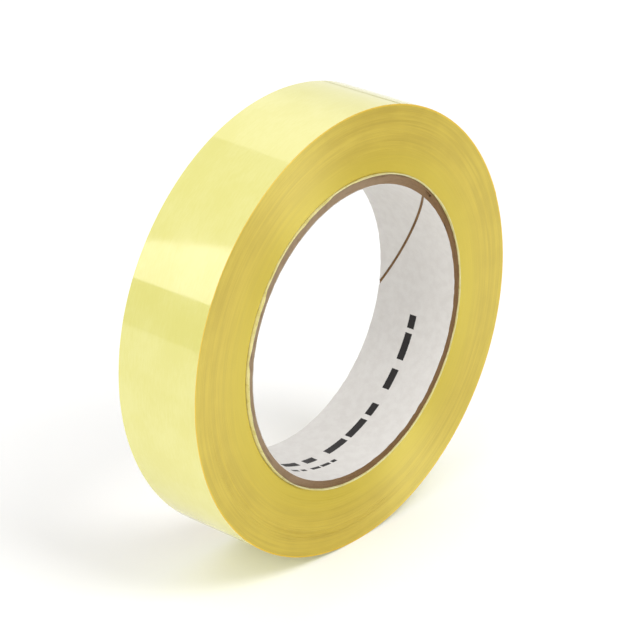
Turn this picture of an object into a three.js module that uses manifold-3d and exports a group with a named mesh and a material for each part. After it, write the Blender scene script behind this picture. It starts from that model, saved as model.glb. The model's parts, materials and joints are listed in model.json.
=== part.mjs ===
// A roll of polyester-film electrical tape, slit 25 mm wide and wound on a spiral paperboard core.
// It stands on its edge. Lengths are in millimetres, the roll's axis is Y, +Z is up and the origin
// is the roll's centre. Angles go round the axis from +X towards +Z, so 90 degrees is the top.
import * as THREE from 'three';
import { mergeVertices } from 'three/addons/utils/BufferGeometryUtils.js';
import Module from 'manifold-3d';

const wasm = await Module();
wasm.setup();

// The core is a 3 in tube: a thin paper liner inside kraft plies, each a strip wound in a helix.
const coreBoreRadius = 38.1;
const linerThickness = 0.2;
const plyCount = 4;
const plyThickness = 0.46;
const glueLine = 0.04;
const seamTwistPerMm = THREE.MathUtils.degToRad(-2.37);
const linerSeamAngle = THREE.MathUtils.degToRad(50);
const linerSeamGap = 1.33;
const firstPlySeamAngle = THREE.MathUtils.degToRad(136);
const plySeamSpacing = THREE.MathUtils.degToRad(135);
const plySeamGap = 0.4;
const seamSlices = 24;
const cutterReach = 1;

// The tape is one continuous strip. Its first turns were wound skewed, so they stand proud in front.
const tapeWidth = 25.1;
const rollRadius = 58.46;
const turnPitch = 0.085;
const adhesiveLine = 0.025;
const startTurns = 4;
const startProud = 0.3;
const startSkew = 0.35;
const startProudAngle = THREE.MathUtils.degToRad(195);

// The rings are polygons that stand on a flat, and every layer has its corners at the same angles.
const facets = 96;
const facetAngle = (2 * Math.PI) / facets;

// The free end lies on the side away from the front left, tip down. Its peel line is its hinge.
const tipFacet = 5;
const freeEndFacets = 5;
const peelGap = 0.15;
const tipGap = 0.05;

const plyPitch = plyThickness + glueLine;
const firstPlyRadius = coreBoreRadius + linerThickness + glueLine;
const coreRadius = firstPlyRadius + plyCount * plyPitch - glueLine;
const startRadius = coreRadius + glueLine;
const startOuterRadius = startRadius + startTurns * turnPitch;
const packRadius = startOuterRadius + glueLine;

const finishes = {
  liner: { color: 0xe4dfd8, roughness: 0.8 },
  kraft: { color: 0x84613e, roughness: 0.9 },
  slitTape: { color: 0xd9c74f, roughness: 0.5 },
  film: { color: 0xebe68a, roughness: 0.2 },
};

function toSolid(geometry) {
  const bare = geometry.clone();
  bare.deleteAttribute('normal');
  bare.deleteAttribute('uv');
  const merged = mergeVertices(bare);
  return new wasm.Manifold(
    new wasm.Mesh({
      numProp: 3,
      vertProperties: new Float32Array(merged.attributes.position.array),
      triVerts: new Uint32Array(merged.index.array),
    }),
  );
}

function toGeometry(solid) {
  const mesh = solid.getMesh();
  const geometry = new THREE.BufferGeometry();
  geometry.setAttribute('position', new THREE.BufferAttribute(mesh.vertProperties, 3));
  geometry.setIndex(new THREE.BufferAttribute(mesh.triVerts, 1));
  geometry.computeVertexNormals();
  return geometry;
}

function ring(innerRadius, outerRadius) {
  const edge = tapeWidth / 2;
  const profile = [
    new THREE.Vector2(innerRadius, -edge),
    new THREE.Vector2(outerRadius, -edge),
    new THREE.Vector2(outerRadius, edge),
    new THREE.Vector2(innerRadius, edge),
    new THREE.Vector2(innerRadius, -edge),
  ];
  return new THREE.LatheGeometry(profile, facets, facetAngle / 2);
}

// A slot through a layer that winds round the axis as it goes from the front edge to the back edge.
function helicalSlot(innerRadius, outerRadius, frontAngle, gap) {
  const height = outerRadius - innerRadius + 2 * cutterReach;
  const length = tapeWidth + 2 * cutterReach;
  const box = new THREE.BoxGeometry(gap, height, length, 1, 1, seamSlices);
  const midRadius = (innerRadius + outerRadius) / 2;
  const points = box.attributes.position;
  for (let i = 0; i < points.count; i += 1) {
    const along = points.getZ(i);
    const radius = midRadius + points.getY(i);
    const angle = frontAngle + seamTwistPerMm * (along + tapeWidth / 2) + points.getX(i) / midRadius;
    points.setXYZ(i, radius * Math.cos(angle), along, radius * Math.sin(angle));
  }
  return box;
}

// One paper layer of the core: a strip whose two edges meet along a helical seam.
function coreLayer(innerRadius, thickness, frontAngle, gap) {
  const outerRadius = innerRadius + thickness;
  const layer = toSolid(ring(innerRadius, outerRadius));
  return toGeometry(layer.subtract(toSolid(helicalSlot(innerRadius, outerRadius, frontAngle, gap))));
}

// The tape's first turns, pushed forward by an amount that changes round the roll.
function skewedTurns() {
  const turns = ring(startRadius, startOuterRadius);
  const points = turns.attributes.position;
  for (let i = 0; i < points.count; i += 1) {
    const angle = Math.atan2(points.getZ(i), points.getX(i));
    const forward = startProud + startSkew * Math.cos(angle - startProudAngle);
    points.setY(i, points.getY(i) - forward);
  }
  turns.computeVertexNormals();
  return turns;
}

// A corner of the winding, counted in facets back along the strip from the tape's tip.
function corner(radius, facet) {
  const angle = facetAngle / 2 + (tipFacet + facet) * facetAngle;
  return new THREE.Vector2(radius * Math.cos(angle), radius * Math.sin(angle));
}

// The pack's surface falls by one turn's thickness over a full turn, with a step at the tip's angle.
function packSurface(facet) {
  return rollRadius - turnPitch * (1 + facet / facets);
}

function facetsBetween(from, to) {
  const stops = [from];
  for (let facet = Math.floor(from) + 1; facet < to; facet += 1) stops.push(facet);
  stops.push(to);
  return stops;
}

function acrossTheWidth(shape) {
  const geometry = new THREE.ExtrudeGeometry(shape, { depth: tapeWidth, bevelEnabled: false });
  geometry.rotateX(Math.PI / 2);
  geometry.translate(0, tapeWidth / 2, 0);
  return geometry;
}

function woundPack() {
  const outline = facetsBetween(0, facets).map((facet) => corner(packSurface(facet), facet));
  const shape = new THREE.Shape(outline);
  const inside = facetsBetween(0, facets - 1).map((facet) => corner(packRadius, facet));
  shape.holes.push(new THREE.Path(inside));
  return acrossTheWidth(shape);
}

// A single thickness of film that lies on the pack from one facet count to another.
function filmOnPack(from, to) {
  const stops = facetsBetween(from, to);
  const outside = stops.map((facet) => corner(packSurface(facet) + turnPitch, facet));
  const underside = stops.map((facet) => corner(packSurface(facet) + adhesiveLine, facet));
  return acrossTheWidth(new THREE.Shape([...outside, ...underside.reverse()]));
}

function part(name, geometry, finish) {
  const material = new THREE.MeshStandardMaterial({ ...finish, metalness: 0 });
  const mesh = new THREE.Mesh(geometry, material);
  mesh.name = name;
  return mesh;
}

const roll = new THREE.Group();

const liner = coreLayer(coreBoreRadius, linerThickness, linerSeamAngle, linerSeamGap);
roll.add(part('core_liner', liner, finishes.liner));

for (let ply = 1; ply <= plyCount; ply += 1) {
  const radius = firstPlyRadius + (ply - 1) * plyPitch;
  const seamAngle = firstPlySeamAngle + (ply - 1) * plySeamSpacing;
  const layer = coreLayer(radius, plyThickness, seamAngle, plySeamGap);
  roll.add(part(`core_kraft_ply_${ply}`, layer, finishes.kraft));
}

roll.add(part('tape_start_turns', skewedTurns(), finishes.slitTape));
roll.add(part('tape_wound_turns', woundPack(), finishes.slitTape));

const facetLength = facetAngle * rollRadius;
const lastTurn = filmOnPack(freeEndFacets, facets - tipGap / facetLength);
roll.add(part('tape_last_turn', lastTurn, finishes.film));

const peelLine = corner(packSurface(freeEndFacets) + turnPitch, freeEndFacets);
const peelHinge = new THREE.Group();
peelHinge.position.set(peelLine.x, 0, peelLine.y);
const freeEnd = filmOnPack(0, freeEndFacets - peelGap / facetLength);
freeEnd.translate(-peelLine.x, 0, -peelLine.y);
peelHinge.add(part('tape_free_end', freeEnd, finishes.film));
roll.add(peelHinge);

export default roll;
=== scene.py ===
# The looks of an electrical tape roll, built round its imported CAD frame.
# The roll's axis is Y, its front face is at -Y and +Z is up. Angles go round the axis from +X towards
# +Z, so 90 degrees is the top. Winding and wall sizes are in millimetres, and meshes in metres.
import json
import math

import bmesh
import bpy
import numpy as np
from mathutils import Matrix, Vector


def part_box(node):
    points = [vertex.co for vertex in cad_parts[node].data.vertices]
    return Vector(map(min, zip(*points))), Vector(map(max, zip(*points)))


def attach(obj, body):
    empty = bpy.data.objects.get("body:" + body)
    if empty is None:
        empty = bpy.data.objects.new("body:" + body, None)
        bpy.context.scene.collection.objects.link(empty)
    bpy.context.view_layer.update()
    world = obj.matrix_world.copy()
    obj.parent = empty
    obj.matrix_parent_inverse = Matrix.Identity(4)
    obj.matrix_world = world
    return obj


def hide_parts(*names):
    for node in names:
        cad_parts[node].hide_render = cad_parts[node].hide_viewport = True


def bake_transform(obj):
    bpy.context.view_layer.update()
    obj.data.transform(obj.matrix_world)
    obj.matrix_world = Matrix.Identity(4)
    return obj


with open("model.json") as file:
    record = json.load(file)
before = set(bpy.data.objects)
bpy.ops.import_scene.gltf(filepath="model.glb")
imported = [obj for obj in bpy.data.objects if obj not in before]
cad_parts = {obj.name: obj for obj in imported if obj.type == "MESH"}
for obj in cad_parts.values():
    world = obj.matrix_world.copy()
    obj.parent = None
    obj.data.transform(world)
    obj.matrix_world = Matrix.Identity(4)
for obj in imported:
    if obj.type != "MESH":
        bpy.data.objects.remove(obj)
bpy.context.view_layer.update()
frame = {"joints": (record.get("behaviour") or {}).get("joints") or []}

MM = 0.001
SEED = 7
TURN = 2 * math.pi


# ---------------------------------------------------------------- camera

CAMERA_AZIMUTH = math.radians(-48.655)
CAMERA_ELEVATION = math.radians(24.833)
CAMERA_DISTANCE = 0.67095
CAMERA_LENS = 150.6
CAMERA_SENSOR = 36.0
CAMERA_REACH = 100.0


def make_camera():
    """Looks at the roll's centre, from the front left and above."""
    flat = math.cos(CAMERA_ELEVATION)
    sideways = math.sin(CAMERA_AZIMUTH) * flat
    forwards = math.cos(CAMERA_AZIMUTH) * flat
    back = Vector((sideways, -forwards, math.sin(CAMERA_ELEVATION)))
    data = bpy.data.cameras.new("camera")
    data.lens = CAMERA_LENS
    data.sensor_width = CAMERA_SENSOR
    data.clip_end = CAMERA_REACH
    camera = bpy.data.objects.new("camera", data)
    camera.location = back * CAMERA_DISTANCE
    camera.rotation_mode = "QUATERNION"
    camera.rotation_quaternion = (-back).to_track_quat("-Z", "Y")
    bpy.context.scene.collection.objects.link(camera)
    bpy.context.scene.camera = camera


make_camera()


# ---------------------------------------------------------------- sizes from the frame

CAD_FACETS = 96


def ring_radius(node):
    """Outer radius in mm of a CAD ring, a polygon that stands on a flat."""
    low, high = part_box(node)
    return high.z / math.cos(math.pi / CAD_FACETS) / MM


pack_low, pack_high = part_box("tape_wound_turns")
FRONT = pack_low.y / MM
BACK = pack_high.y / MM
WIDTH = BACK - FRONT

peel_joint = next(joint for joint in frame["joints"] if joint["name"] == "free_end_peel")
hinge = Vector(peel_joint["pos_m"])
tip_low, tip_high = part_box("tape_free_end")
HINGE_ANGLE = math.atan2(hinge.z, hinge.x)
TIP_ANGLE = math.atan2(tip_low.z, tip_high.x)

TURN_PITCH = 0.085
FILM_RADIUS = math.hypot(hinge.x, hinge.z) / MM + TURN_PITCH * (HINGE_ANGLE - TIP_ANGLE) / TURN
LINER_RADIUS = ring_radius("core_liner")
LINER_THICKNESS = 0.2
PLY_RADII = [ring_radius(f"core_kraft_ply_{ply}") for ply in range(1, 5)]
START_RADIUS = PLY_RADII[-1] + 0.04
START_TURNS = 4
PACK_RADIUS = START_RADIUS + START_TURNS * TURN_PITCH + 0.04
CORE_RECESS = 0.22
FLOOR_HEIGHT = -FILM_RADIUS * MM


# ---------------------------------------------------------------- numbers that vary smoothly


def degrees_from(angle, centre):
    """How far an angle is from a direction, in degrees from -180 to 180."""
    return (np.degrees(angle) - centre + 180) % 360 - 180


def lobe(angle, centre, half_width, edge=6.0):
    """1 within half_width degrees of a direction, falling to 0 over edge degrees."""
    outside = np.abs(degrees_from(angle, centre)) - half_width
    share = np.clip(1 - outside / edge, 0, 1)
    return share * share * (3 - 2 * share)


def band(value, low, high, edge):
    """1 between low and high, falling to 0 over edge on either side."""
    share = np.clip(np.minimum(value - low, high - value) / edge + 1, 0, 1)
    return share * share * (3 - 2 * share)


def ripple(angle, seed, slowest, fastest, along=0.0, drift=0.0):
    """A smooth random wave of about unit height that closes on itself after a full turn."""
    random = np.random.default_rng(SEED + seed)
    total = np.zeros(np.broadcast(angle, along).shape)
    for cycles in range(slowest, fastest + 1):
        phase, lean = random.uniform(0, TURN), random.uniform(-drift, drift)
        total = total + np.cos(cycles * angle + lean * along + phase)
    return total * math.sqrt(2 / (fastest - slowest + 1))


def wound(angle):
    """Turns of the tape back from its tip, from 0 to 1 over the last turn."""
    return ((angle - TIP_ANGLE) % TURN) / TURN


FILM_WAVE_HEIGHT = 0.006


def film_wave(angle, along):
    """Height in mm of the slow waves in the outer turns, where the winding isn't quite even."""
    return FILM_WAVE_HEIGHT * ripple(angle, 11, 5, 17, along, 0.12)


FLARE_HEIGHT = 0.5
FLARE_DEPTH = 1.6


def core_flare(angle, along):
    """How far in mm the core's cut front edge is swollen outwards, most at the top."""
    depth = np.exp(-(along - FRONT) / FLARE_DEPTH)
    return FLARE_HEIGHT * lobe(angle, 88, 22, 42) * np.clip(depth, 0, 1)


def slit_relief(radius, angle):
    """How far in mm each turn's slit edge stands proud of the face, at a radius in mm."""
    random = np.random.default_rng(SEED + 3)
    turns = np.arange(PACK_RADIUS, FILM_RADIUS + 1, TURN_PITCH)
    steps = random.normal(0, 1, (3, len(turns)))
    smooth = np.array([np.convolve(row, np.hanning(7) / 3, mode="same") for row in steps])
    even, across, up = (np.interp(radius, turns, row) for row in smooth)
    height = 0.012 * even + 0.008 * across * np.cos(angle) + 0.008 * up * np.sin(angle)
    rough = 1.2 + 4.4 * band(radius, 49.6, 54.2, 0.8) * lobe(angle, 248, 34, 50)
    rough = rough + 1.6 * band(radius, 42.8, 47, 1) * lobe(angle, 238, 20, 25)
    return height * rough


# The turns that wander furthest out of the face: radius, half width and height in mm.
RIDGES = ((51.35, 0.2, 0.09), (53.25, 0.22, 0.10))


def ridges(radius, angle):
    """Height in mm of the turns that wander furthest, at the lower left."""
    waver = 0.12 * ripple(angle, 21, 3, 9)
    height = 0.0
    for middle, half_width, peak in RIDGES:
        height = height + peak * np.exp(-(((radius - middle - waver) / half_width) ** 2))
    return height * lobe(angle, 244, 34, 44)


# ---------------------------------------------------------------- meshes

INNER, BACK_EDGE, OUTER, FRONT_EDGE, CUT_END = range(5)


def section_loop(inner_columns, edge_rows, outer_columns):
    """Once round a section: each point's share of the thickness and of the width, and its side."""
    inner = np.arange(inner_columns) / inner_columns
    edge = np.arange(edge_rows) / edge_rows
    outer = np.arange(outer_columns) / outer_columns
    thick = np.concatenate([0 * inner, edge, 0 * outer + 1, 1 - edge])
    wide = np.concatenate([inner, 0 * edge + 1, 1 - outer, 0 * edge])
    side = np.repeat([INNER, BACK_EDGE, OUTER, FRONT_EDGE], [len(inner), len(edge), len(outer), len(edge)])
    return thick, wide, side


def swept_mesh(name, angle, radius, along, side, closed):
    """A skin through sections that are carried round the axis, with the side of each face as its slot."""
    points = np.stack([radius * np.cos(angle), along, radius * np.sin(angle)], axis=-1) * MM
    sections, loop = radius.shape
    here = np.arange(sections * loop).reshape(sections, loop)
    there = np.roll(here, -1, axis=0)
    if not closed:
        here, there = here[:-1], there[:-1]
    quads = np.stack([here, there, np.roll(there, -1, axis=1), np.roll(here, -1, axis=1)], axis=-1)
    faces = quads.reshape(-1, 4).tolist()
    slots = np.tile(side, len(here)).tolist()
    if not closed:
        faces += [list(range(loop)), list(range((sections - 1) * loop, sections * loop))]
        slots += [CUT_END, CUT_END]
    mesh = bpy.data.meshes.new(name)
    mesh.from_pydata(points.reshape(-1, 3).tolist(), [], faces)
    mesh.polygons.foreach_set("material_index", slots)
    return mesh


def finish_mesh(mesh, sharp=35.0):
    """Faces point outwards, and shade smoothly except across edges sharper than this many degrees."""
    work = bmesh.new()
    work.from_mesh(mesh)
    bmesh.ops.recalc_face_normals(work, faces=work.faces)
    work.to_mesh(mesh)
    work.free()
    mesh.shade_smooth()
    mesh.set_sharp_from_angle(angle=math.radians(sharp))


def round_normals(mesh):
    """Gives the film's two faces the normals of their true curve, so that its split can't be seen."""
    corners = np.empty(len(mesh.loops), int)
    mesh.loops.foreach_get("vertex_index", corners)
    points = np.array([vertex.co for vertex in mesh.vertices])[corners] / MM
    angle = np.arctan2(points[:, 2], points[:, 0])
    nudge = math.radians(0.5)
    rise = film_wave(angle + nudge, points[:, 1]) - film_wave(angle - nudge, points[:, 1])
    leaning = angle - rise / (2 * nudge * FILM_RADIUS)
    normals = np.stack([np.cos(leaning), 0 * leaning, np.sin(leaning)], axis=-1)
    for face in mesh.polygons:
        here = list(face.loop_indices)
        if face.material_index == INNER:
            normals[here] *= -1
        elif face.material_index != OUTER:
            normals[here] = face.normal
    mesh.normals_split_custom_set(normals.tolist())


def add_piece(name, mesh, materials):
    """An object for a mesh. materials names one for each side, and CUT_END takes the last."""
    for material in materials:
        mesh.materials.append(material)
    piece = bpy.data.objects.new(name, mesh)
    bpy.context.scene.collection.objects.link(piece)
    return piece


def place(piece, body, slot, *nodes):
    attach(piece, body)
    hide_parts(*nodes)


# ---------------------------------------------------------------- shader nodes

MIX_A, MIX_B, MIX_RESULT = 6, 7, 2


def node(tree, kind, inputs=None, **settings):
    """A shader node, with each input set to a value or linked to another node's output."""
    made = tree.nodes.new("ShaderNode" + kind)
    for key, value in settings.items():
        setattr(made, key, value)
    for key, value in (inputs or {}).items():
        if isinstance(value, bpy.types.NodeSocket):
            tree.links.new(value, made.inputs[key])
        else:
            made.inputs[key].default_value = value
    return made


def calc(tree, operation, first, second=0.0):
    return node(tree, "Math", {0: first, 1: second}, operation=operation).outputs[0]


def remap(tree, value, low, high, to_low=0.0, to_high=1.0):
    """Goes smoothly from to_low to to_high while the value goes from low to high."""
    inputs = {"Value": value, "From Min": low, "From Max": high, "To Min": to_low, "To Max": to_high}
    return node(tree, "MapRange", inputs, interpolation_type="SMOOTHSTEP").outputs["Result"]


def mix(tree, share, first, second):
    inputs = {0: share, MIX_A: first, MIX_B: second}
    return node(tree, "Mix", inputs, data_type="RGBA").outputs[MIX_RESULT]


def grain(tree, vector, size=1.0, detail=3.0, rough=0.55):
    """Noise from 0 to 1 with features of about this size, in the vector's own units."""
    inputs = {"Vector": vector, "Scale": 1 / size, "Detail": detail, "Roughness": rough}
    return node(tree, "TexNoise", inputs).outputs["Fac"]


def bump(tree, height, distance, strength=1.0, under=None):
    inputs = {"Height": height, "Distance": distance, "Strength": strength}
    if under:
        inputs["Normal"] = under
    return node(tree, "Bump", inputs).outputs["Normal"]


def colour(red, green, blue):
    return (red, green, blue, 1.0)


def new_material(name):
    material = bpy.data.materials.new(name)
    material.use_nodes = True
    tree = material.node_tree
    shader = tree.nodes["Principled BSDF"]
    here = node(tree, "TexCoord").outputs["Object"]
    return material, tree, shader, here


def finish_shader(tree, shader, base, roughness, normal=None):
    tree.links.new(base, shader.inputs["Base Color"])
    tree.links.new(roughness, shader.inputs["Roughness"])
    if normal:
        tree.links.new(normal, shader.inputs["Normal"])


def polar(tree, here):
    """The radius, and the direction from the axis as a unit vector, from object coordinates."""
    flat = node(tree, "VectorMath", {0: here, 1: (1, 0, 1)}, operation="MULTIPLY").outputs["Vector"]
    radius = node(tree, "VectorMath", {0: flat}, operation="LENGTH").outputs["Value"]
    outwards = node(tree, "VectorMath", {0: flat}, operation="NORMALIZE").outputs["Vector"]
    return radius, outwards


def streaks(tree, radius, outwards, line, turns):
    """Coordinates for noise in concentric lines, this many mm wide, that change a few times a turn."""
    lines = node(tree, "CombineXYZ", {"Y": calc(tree, "DIVIDE", radius, line * MM)}).outputs["Vector"]
    spread = node(tree, "VectorMath", {0: outwards, 1: (turns,) * 3}, operation="MULTIPLY").outputs["Vector"]
    return node(tree, "VectorMath", {0: spread, 1: lines}, operation="ADD").outputs["Vector"]


def facing(tree, outwards, angle):
    """From -1 to 1, how nearly a place on the roll lies in this direction from the axis."""
    way = (math.cos(math.radians(angle)), 0, math.sin(math.radians(angle)))
    return node(tree, "VectorMath", {0: outwards, 1: way}, operation="DOT_PRODUCT").outputs["Value"]


# ---------------------------------------------------------------- materials


def paper_material():
    """Pale calendered paper with faint mottle and two rows of plain printed bars."""
    material, tree, shader, here = new_material("liner_paper")
    mottle = grain(tree, here, 2.2 * MM, 4)
    fibre = grain(tree, here, 0.25 * MM, 3)
    shade = calc(tree, "ADD", calc(tree, "MULTIPLY", mottle, 0.7), calc(tree, "MULTIPLY", fibre, 0.3))
    base = mix(tree, remap(tree, shade, 0.35, 0.65), colour(0.65, 0.625, 0.595), colour(0.70, 0.68, 0.65))
    ink = printed_bars(tree, here)
    base = mix(tree, ink, base, colour(0.022, 0.019, 0.019))
    roughness = remap(tree, mottle, 0.3, 0.7, 0.5, 0.62)
    normal = bump(tree, fibre, 0.02 * MM, 0.5)
    finish_shader(tree, shader, base, roughness, normal)
    shader.inputs["Specular IOR Level"].default_value = 0.25
    return material


# The rows of bars: first and last angle in degrees, then nearest and furthest distance from the
# front edge and the bars' spacing, in mm.
PRINT_ROWS = ((247.0, 343.0, 11.0, 13.2, 8.6), (245.0, 271.0, 7.2, 8.3, 3.9))
SHORTEST_BAR = 0.45
LONGEST_BAR = 0.86


def printed_bars(tree, here):
    """Ink, from 0 to 1: a heavy row of bars and a short fine row nearer the front edge."""
    place_of = node(tree, "SeparateXYZ", {0: here})
    angle = calc(tree, "ARCTAN2", place_of.outputs["Z"], place_of.outputs["X"])
    angle = calc(tree, "FLOORED_MODULO", angle, TURN)
    blur = calc(tree, "MULTIPLY", calc(tree, "SUBTRACT", grain(tree, here, 0.3 * MM, 2), 0.5), 0.25)
    along = calc(tree, "DIVIDE", place_of.outputs["Y"], MM)
    depth = calc(tree, "ADD", calc(tree, "SUBTRACT", along, FRONT), blur)
    bore = LINER_RADIUS - LINER_THICKNESS
    rows = []
    for first, last, near, far, pitch in PRINT_ROWS:
        start = math.radians(first)
        arc = calc(tree, "ADD", calc(tree, "MULTIPLY", calc(tree, "SUBTRACT", angle, start), bore), blur)
        share = calc(tree, "FRACT", calc(tree, "DIVIDE", arc, pitch))
        number = calc(tree, "FLOOR", calc(tree, "DIVIDE", arc, pitch))
        length = node(tree, "TexWhiteNoise", {"W": number}, noise_dimensions="1D").outputs["Value"]
        inside = calc(tree, "LESS_THAN", share, remap(tree, length, 0, 1, SHORTEST_BAR, LONGEST_BAR))
        for value, limit, sense in (
            (angle, start, "GREATER_THAN"),
            (angle, math.radians(last), "LESS_THAN"),
            (depth, near, "GREATER_THAN"),
            (depth, far, "LESS_THAN"),
        ):
            inside = calc(tree, "MULTIPLY", inside, calc(tree, sense, value, limit))
        rows.append(inside)
    return calc(tree, "MAXIMUM", rows[0], rows[1])


def kraft_material():
    """Grey-brown paperboard: long fibres round the ring, flecks, and painted light that makes the upper left
    paler.
    """
    material, tree, shader, here = new_material("kraft_paperboard")
    radius, outwards = polar(tree, here)
    layers = grain(tree, streaks(tree, radius, outwards, 0.12, 9), 1.0, 4, 0.6)
    flecks = grain(tree, here, 0.35 * MM, 4, 0.65)
    mottle = grain(tree, here, 3 * MM, 3)
    shade = calc(tree, "ADD", calc(tree, "MULTIPLY", layers, 0.5), calc(tree, "MULTIPLY", flecks, 0.5))
    base = mix(tree, remap(tree, shade, 0.35, 0.65), colour(0.148, 0.078, 0.03), colour(0.235, 0.135, 0.058))
    # Painted light: the upper left of the ring, the side towards the light, is painted paler in patches.
    painted_light = remap(tree, facing(tree, outwards, 155), -0.6, 0.75, 0.0, 0.9)
    painted_light = calc(tree, "MULTIPLY", painted_light, remap(tree, mottle, 0.25, 0.6, 0.75, 1.0))
    base = mix(tree, painted_light, base, colour(0.37, 0.27, 0.175))
    roughness = remap(tree, flecks, 0.3, 0.7, 0.8, 0.95)
    normal = bump(tree, flecks, 0.05 * MM, 0.7, bump(tree, layers, 0.03 * MM, 0.6))
    finish_shader(tree, shader, base, roughness, normal)
    shader.inputs["Specular IOR Level"].default_value = 0.3
    return material


def slit_material():
    """The slit edges of the turns: fine concentric lines in translucent yellow, glossy across the lines,
    with a highlight painted near the core.
    """
    material, tree, shader, here = new_material("tape_slit_edge")
    radius, outwards = polar(tree, here)
    fine = grain(tree, streaks(tree, radius, outwards, 0.13, 3.0), 1.0, 3, 0.6)
    broad = grain(tree, streaks(tree, radius, outwards, 1.1, 1.4), 1.0, 3)
    cloud = grain(tree, here, 9 * MM, 2)
    shade = calc(tree, "ADD", calc(tree, "MULTIPLY", fine, 0.45), calc(tree, "MULTIPLY", broad, 0.35))
    shade = calc(tree, "ADD", shade, calc(tree, "MULTIPLY", cloud, 0.2))
    base = mix(tree, remap(tree, shade, 0.39, 0.61), colour(0.475, 0.305, 0.013), colour(0.62, 0.435, 0.035))
    # Painted highlight: a lighter lemon tone painted on the turns near the core.
    core_highlight = remap(tree, radius, 52 * MM, 41.5 * MM)
    base = mix(tree, calc(tree, "MULTIPLY", core_highlight, 0.8), base, colour(0.575, 0.415, 0.008))
    rim = remap(tree, radius, 57.95 * MM, 58.2 * MM)
    base = mix(tree, rim, base, colour(0.82, 0.50, 0.012))
    roughness = remap(tree, broad, 0.3, 0.7, 0.7, 0.8)
    normal = bump(tree, fine, 0.012 * MM, 0.5, bump(tree, broad, 0.05 * MM, 0.4))
    finish_shader(tree, shader, base, roughness, normal)
    tangent = node(tree, "Tangent", direction_type="RADIAL", axis="Y").outputs["Tangent"]
    tree.links.new(tangent, shader.inputs["Tangent"])
    shader.inputs["Anisotropic"].default_value = 0.9
    shader.inputs["Anisotropic Rotation"].default_value = 0.25
    shader.inputs["IOR"].default_value = 2.5
    shader.inputs["Specular IOR Level"].default_value = 1.0
    shader.inputs["Specular Tint"].default_value = colour(1.0, 0.97, 0.42)
    return material


def start_material():
    """The edges of the first turns: one or two films thick, so paler and more see-through."""
    material, tree, shader, here = new_material("tape_start_edge")
    radius, outwards = polar(tree, here)
    fine = grain(tree, streaks(tree, radius, outwards, 0.09, 8.0), 1.0, 3)
    cloud = grain(tree, here, 2.5 * MM, 3)
    shade = calc(tree, "ADD", calc(tree, "MULTIPLY", fine, 0.5), calc(tree, "MULTIPLY", cloud, 0.5))
    base = mix(tree, remap(tree, shade, 0.38, 0.62), colour(0.74, 0.67, 0.25), colour(0.84, 0.79, 0.44))
    roughness = remap(tree, cloud, 0.3, 0.7, 0.25, 0.4)
    finish_shader(tree, shader, base, roughness, bump(tree, cloud, 0.03 * MM, 0.4))
    shader.inputs["IOR"].default_value = 1.6
    return material


def film_material(name, light, deep, low_gloss, high_gloss):
    """Polyester film over the turns below it, with faint clouds, winding lines and handling marks."""
    material, tree, shader, here = new_material(name)
    cloud = grain(tree, here, 14 * MM, 3)
    across = node(tree, "Mapping", {"Vector": here, "Scale": (1, 6, 1)}).outputs["Vector"]
    lines = grain(tree, across, 2.4 * MM, 4)
    shade = calc(tree, "ADD", calc(tree, "MULTIPLY", cloud, 0.65), calc(tree, "MULTIPLY", lines, 0.35))
    base = mix(tree, remap(tree, shade, 0.36, 0.64), colour(*deep), colour(*light))
    smear = grain(tree, here, 6 * MM, 5, 0.6)
    roughness = remap(tree, smear, 0.35, 0.75, low_gloss, high_gloss)
    finish_shader(tree, shader, base, roughness, bump(tree, lines, 0.004 * MM, 0.3))
    shader.inputs["IOR"].default_value = 1.6
    return material


def rim_material():
    """The cut edge of the film, where its dye shows at full depth."""
    material, tree, shader, here = new_material("tape_film_edge")
    cloud = grain(tree, here, 3 * MM, 3)
    base = mix(tree, remap(tree, cloud, 0.35, 0.65), colour(0.80, 0.47, 0.01), colour(0.86, 0.54, 0.02))
    finish_shader(tree, shader, base, remap(tree, cloud, 0.3, 0.7, 0.25, 0.4))
    shader.inputs["IOR"].default_value = 1.6
    return material


paper = paper_material()
kraft = kraft_material()
slit = slit_material()
start_edge = start_material()
film = film_material("tape_film", (0.73, 0.695, 0.25), (0.70, 0.66, 0.205), 0.05, 0.11)
adhesive = film_material("tape_adhesive", (0.70, 0.64, 0.19), (0.66, 0.58, 0.14), 0.3, 0.45)
film_edge = rim_material()


# ---------------------------------------------------------------- the core

SEAM_TWIST = math.radians(-2.37)
LINER_SEAM = math.radians(50)
LINER_SEAM_GAP = 1.33
PLY_SEAMS = (136, 271, 46, 181)
PLY_SEAM_GAPS = (0.1, 0.08, 0.42, 0.1)
AROUND = 384


def helical_strip(name, seam, gap, inner, outer, front_jag, columns, rows, flare):
    """One paper strip of the core, wound in a helix with its two edges at a seam of this gap in mm."""
    thick, wide, side = section_loop(columns, rows, columns)
    half_gap = gap / 2 / outer
    turned = np.linspace(half_gap, TURN - half_gap, AROUND)[:, None]
    level = FRONT + CORE_RECESS + (BACK - FRONT - 2 * CORE_RECESS) * wide
    angle = seam + turned + SEAM_TWIST * (level - FRONT)
    at_edge = (wide <= 0) | (wide >= 1)
    along = level + at_edge * front_jag(angle, thick) * np.where(wide <= 0, -1, 1)
    radius = inner + (outer - inner) * thick + flare(angle, along, thick)
    mesh = swept_mesh(name, angle, radius, along, side, closed=False)
    finish_mesh(mesh)
    return mesh


def liner_lift(angle, along, thick):
    """The liner's front edge is turned back a little at the lower right, from a crease."""
    depth = np.clip(1 - (along - FRONT - CORE_RECESS) / 1.1, 0, 1)
    wave = 0.03 * ripple(angle, 31, 2, 9, along, 0.1)
    return 0.1 * depth * lobe(angle, 328, 28, 16) + wave * 0.4


def liner_jag(angle, thick):
    """The fine raggedness in mm of the liner's cut edges."""
    return 0.03 * ripple(angle, 41, 20, 90)


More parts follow.
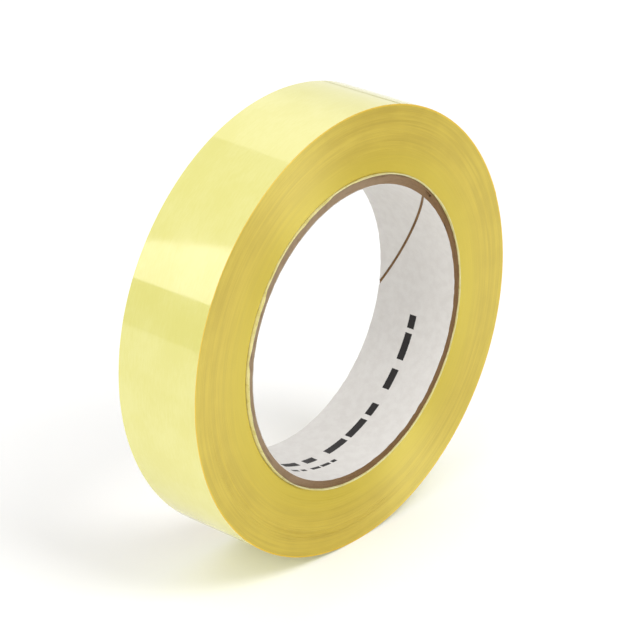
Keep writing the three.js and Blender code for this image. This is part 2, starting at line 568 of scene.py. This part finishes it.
def make_liner():
    name = "core_liner_paper"
    inner = LINER_RADIUS - LINER_THICKNESS
    mesh = helical_strip(
        name, LINER_SEAM, LINER_SEAM_GAP, inner, LINER_RADIUS, liner_jag, 26, 1, liner_lift
    )
    piece = add_piece(name, mesh, [paper] * 5)
    place(piece, "roll", "liner_paper", "core_liner")


NICK_ANGLE = 28.0


def make_ply(ply):
    """One kraft ply, with fibres and shallow steps left on its cut edges."""
    inner = (PLY_RADII[ply - 1] if ply else LINER_RADIUS) + 0.012
    outer = PLY_RADII[ply]

    def jag(angle, thick):
        fibres = 0.02 * ripple(angle + 3 * thick, 51 + ply, 60, 180)
        steps = 0.03 * ripple(angle, 61 + ply, 6, 40)
        nick = 0.35 * lobe(angle, NICK_ANGLE, 0.7, 0.8) if ply == 0 else 0.0
        tear = 0.3 * lobe(angle, 47, 1.0, 1.2) if ply == 2 else 0.0
        return fibres + steps - nick - tear

    def flare(angle, along, thick):
        share = (ply + thick) / len(PLY_RADII)
        return core_flare(angle, along) * share

    name = f"core_kraft_ply_{ply + 1}_board"
    seam = math.radians(PLY_SEAMS[ply])
    mesh = helical_strip(name, seam, PLY_SEAM_GAPS[ply], inner, outer, jag, 14, 5, flare)
    piece = add_piece(name, mesh, [kraft] * 5)
    place(piece, "roll", "kraft_paperboard", f"core_kraft_ply_{ply + 1}")


# ---------------------------------------------------------------- the tape

# Where the first turns stand proud in front: middle and half width in degrees, height in mm.
PROUD_STRETCHES = (
    (31, 7, 0.30),
    (84, 6, 0.30),
    (113, 6, 0.34),
    (157, 8, 0.50),
    (188, 13, 0.66),
    (213, 12, 0.60),
    (243, 16, 0.36),
)


def proud_height(angle, turn):
    """How far in mm a first turn stands out of the front face."""
    height = 0 * angle
    for middle, half_width, peak in PROUD_STRETCHES:
        stretch = peak * (1 - 0.12 * turn) * lobe(angle, middle + 1.2 * turn, half_width, 5)
        height = np.maximum(height, stretch)
    scallops = 0.03 * ripple(angle, 81 + turn, 25, 60) * lobe(angle, 190, 60, 30)
    return height + 0.09 + 0.02 * ripple(angle, 71 + turn, 8, 30) + scallops


def make_first_turns():
    """The first turns on the core, wound skewed, each with its own wavy front edge."""
    mesh_parts = []
    thick, wide, side = section_loop(6, 1, 6)
    angle = np.linspace(0, TURN, 2 * AROUND, endpoint=False)[:, None]
    for turn in range(START_TURNS):
        inner = START_RADIUS + turn * TURN_PITCH
        front = FRONT - proud_height(angle, turn)
        along = front + (BACK + 0.04 * ripple(angle, 91 + turn, 3, 12) - front) * wide
        radius = inner + 0.07 * thick + core_flare(angle, np.maximum(along, FRONT))
        radius = radius + 0.02 * ripple(angle, 95 + turn, 10, 40) * np.clip((FRONT - along) / 0.3, 0, 1)
        mesh_parts.append(swept_mesh(f"turn_{turn}", angle, radius, along, side, closed=True))
    mesh = joined("tape_first_turns", mesh_parts)
    finish_mesh(mesh)
    piece = add_piece("tape_first_turns", mesh, [start_edge] * 5)
    place(piece, "roll", "tape_slit_edge", "tape_start_turns")


def joined(name, parts):
    """One mesh of several, which are used up."""
    work = bmesh.new()
    for part in parts:
        work.from_mesh(part)
        bpy.data.meshes.remove(part)
    mesh = bpy.data.meshes.new(name)
    work.to_mesh(mesh)
    work.free()
    return mesh


PACK_ROWS = 104
GROOVE_DEPTH = 0.3
HOLLOW_DEPTH = 0.12
FLARE_REACH = 4
STEP_WIDTH = math.radians(0.02)


def pack_surface(angle):
    """Radius in mm of the pack under the last turn, which falls by one turn's thickness in a turn."""
    return FILM_RADIUS - TURN_PITCH * (1 + wound(angle))


def make_wound_turns():
    """The wound pack: slit faces with real relief, and the turn that the free end uncovers."""
    thick, wide, side = section_loop(1, PACK_ROWS, 24)
    angle = TIP_ANGLE + np.linspace(0, TURN - STEP_WIDTH, AROUND)[:, None]
    surface = pack_surface(angle + STEP_WIDTH / 4)
    radius = PACK_RADIUS + (surface - PACK_RADIUS) * thick
    relief = slit_relief(radius, angle) + ridges(radius, angle)
    groove = GROOVE_DEPTH * np.exp(-(((radius - PACK_RADIUS) / 0.22) ** 2)) * lobe(angle, 155, 78, 14)
    hollow = HOLLOW_DEPTH * band(radius, 40.5, 41.9, 0.5) * lobe(angle, 318, 28, 12)
    proud = relief - groove - hollow
    along = FRONT - proud + (BACK + proud - FRONT + proud) * wide
    squeeze = np.clip(1 - (radius - PACK_RADIUS) / FLARE_REACH, 0, 1)
    radius = radius + film_wave(angle, along) * thick * (side == OUTER)
    radius = radius + core_flare(angle, along) * squeeze
    mesh = swept_mesh("tape_pack", angle + 0 * radius, radius, along, side, closed=True)
    finish_mesh(mesh)
    piece = add_piece("tape_pack", mesh, [slit, slit, film, slit, slit])
    place(piece, "roll", "tape_slit_edge", "tape_wound_turns")


FILM_GAP = 0.004
SPLIT_ANGLE = HINGE_ANGLE + math.radians(6)


def film_strip(name, start, end, steps):
    """A stretch of the last turn, from one angle to another."""
    thick, wide, side = section_loop(24, 1, 24)
    angle = np.linspace(start, end, steps)[:, None]
    outside = FILM_RADIUS - TURN_PITCH * (angle - TIP_ANGLE) / TURN
    inner = outside - TURN_PITCH + FILM_GAP
    along = FRONT - 0.02 + (WIDTH + 0.04) * wide + 0 * angle
    radius = inner + (outside - inner) * thick + film_wave(angle, along)
    mesh = swept_mesh(name, angle + 0 * radius, radius, along, side, closed=False)
    finish_mesh(mesh)
    round_normals(mesh)
    return mesh


def make_last_turn():
    mesh = film_strip("tape_last_turn_film", SPLIT_ANGLE, TIP_ANGLE + TURN - STEP_WIDTH, AROUND)
    piece = add_piece("tape_last_turn_film", mesh, [adhesive, film_edge, film, film_edge, film_edge])
    place(piece, "roll", "tape_film", "tape_last_turn")


def make_free_end():
    """The end of the tape, a stretch of the last turn from its tip to the split."""
    mesh = film_strip("tape_free_end_film", TIP_ANGLE, SPLIT_ANGLE, 60)
    piece = add_piece("tape_free_end_film", mesh, [adhesive, film_edge, film, film_edge, film_edge])
    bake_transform(piece)
    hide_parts("tape_free_end")


make_liner()
for ply in range(len(PLY_RADII)):
    make_ply(ply)
make_first_turns()
make_wound_turns()
make_last_turn()
make_free_end()


# ---------------------------------------------------------------- floor and light

FLOOR_SIZE = 1.18
FLOOR_CELLS = 8


def make_floor():
    mesh = bpy.data.meshes.new("floor")
    work = bmesh.new()
    bmesh.ops.create_grid(work, x_segments=FLOOR_CELLS, y_segments=FLOOR_CELLS, size=FLOOR_SIZE)
    work.to_mesh(mesh)
    work.free()
    material = bpy.data.materials.new("floor")
    material.use_nodes = True
    shader = material.node_tree.nodes["Principled BSDF"]
    shader.inputs["Base Color"].default_value = colour(0.93, 0.93, 0.93)
    shader.inputs["Emission Color"].default_value = colour(1, 1, 1)
    shader.inputs["Emission Strength"].default_value = 0.06
    shader.inputs["Roughness"].default_value = 0.9
    mesh.materials.append(material)
    floor = bpy.data.objects.new("floor", mesh)
    floor.location = (0, 0, FLOOR_HEIGHT)
    bpy.context.scene.collection.objects.link(floor)


def softbox(name, centre, width, height, radiance, across, upwards):
    """A rectangular light of this brightness. across and upwards are the directions of its sides."""
    data = bpy.data.lights.new(name, "AREA")
    data.shape = "RECTANGLE"
    data.size = width
    data.size_y = height
    data.energy = radiance * width * height * math.pi
    light = bpy.data.objects.new(name, data)
    across, upwards = Vector(across).normalized(), Vector(upwards).normalized()
    away = across.cross(upwards)
    if away.dot(Vector(centre)) < 0:
        across, away = -across, -away
    turned = Matrix((across, upwards, away)).transposed().to_4x4()
    light.matrix_world = Matrix.Translation(centre) @ turned
    light.visible_camera = False
    bpy.context.scene.collection.objects.link(light)


def make_lights():
    """A glare panel behind on the left, white walls behind and on the left, and a key above in front."""
    softbox("glare_panel", (-1.338, 1.2, 1.017), 0.5, 1.0, 3.1, (0.941, 0, -0.339), (0.339, 0, 0.941))
    softbox("back_wall", (1.18, 1.2, 0.83), 1.8, 1.77, 0.95, (1, 0, 0), (0, 0, 1))
    softbox("left_wall", (-1.5, -0.35, 0.62), 1.2, 1.3, 2.7, (0, 1, 0), (0, 0, 1))
    softbox("key_box", (0.15, -0.95, 1.3), 0.7, 0.7, 7.0, (1, 0, 0), (0, 0.8, 0.6))


def make_world():
    """A studio, pale above and dark below, that the camera itself sees as plain white."""
    world = bpy.data.worlds.new("studio")
    world.use_nodes = True
    tree = world.node_tree
    way = node(tree, "TexCoord").outputs["Generated"]
    height = node(tree, "SeparateXYZ", {0: way}).outputs["Z"]
    shade = mix(tree, remap(tree, height, 0.25, 0.65), colour(0.15, 0.15, 0.15), colour(0.78, 0.78, 0.78))
    direct = node(tree, "LightPath").outputs["Is Camera Ray"]
    shade = mix(tree, direct, shade, colour(1, 1, 1))
    tree.links.new(shade, tree.nodes["Background"].inputs["Color"])
    bpy.context.scene.world = world


make_floor()
make_lights()
make_world()
bpy.context.scene.view_settings.view_transform = "Standard"
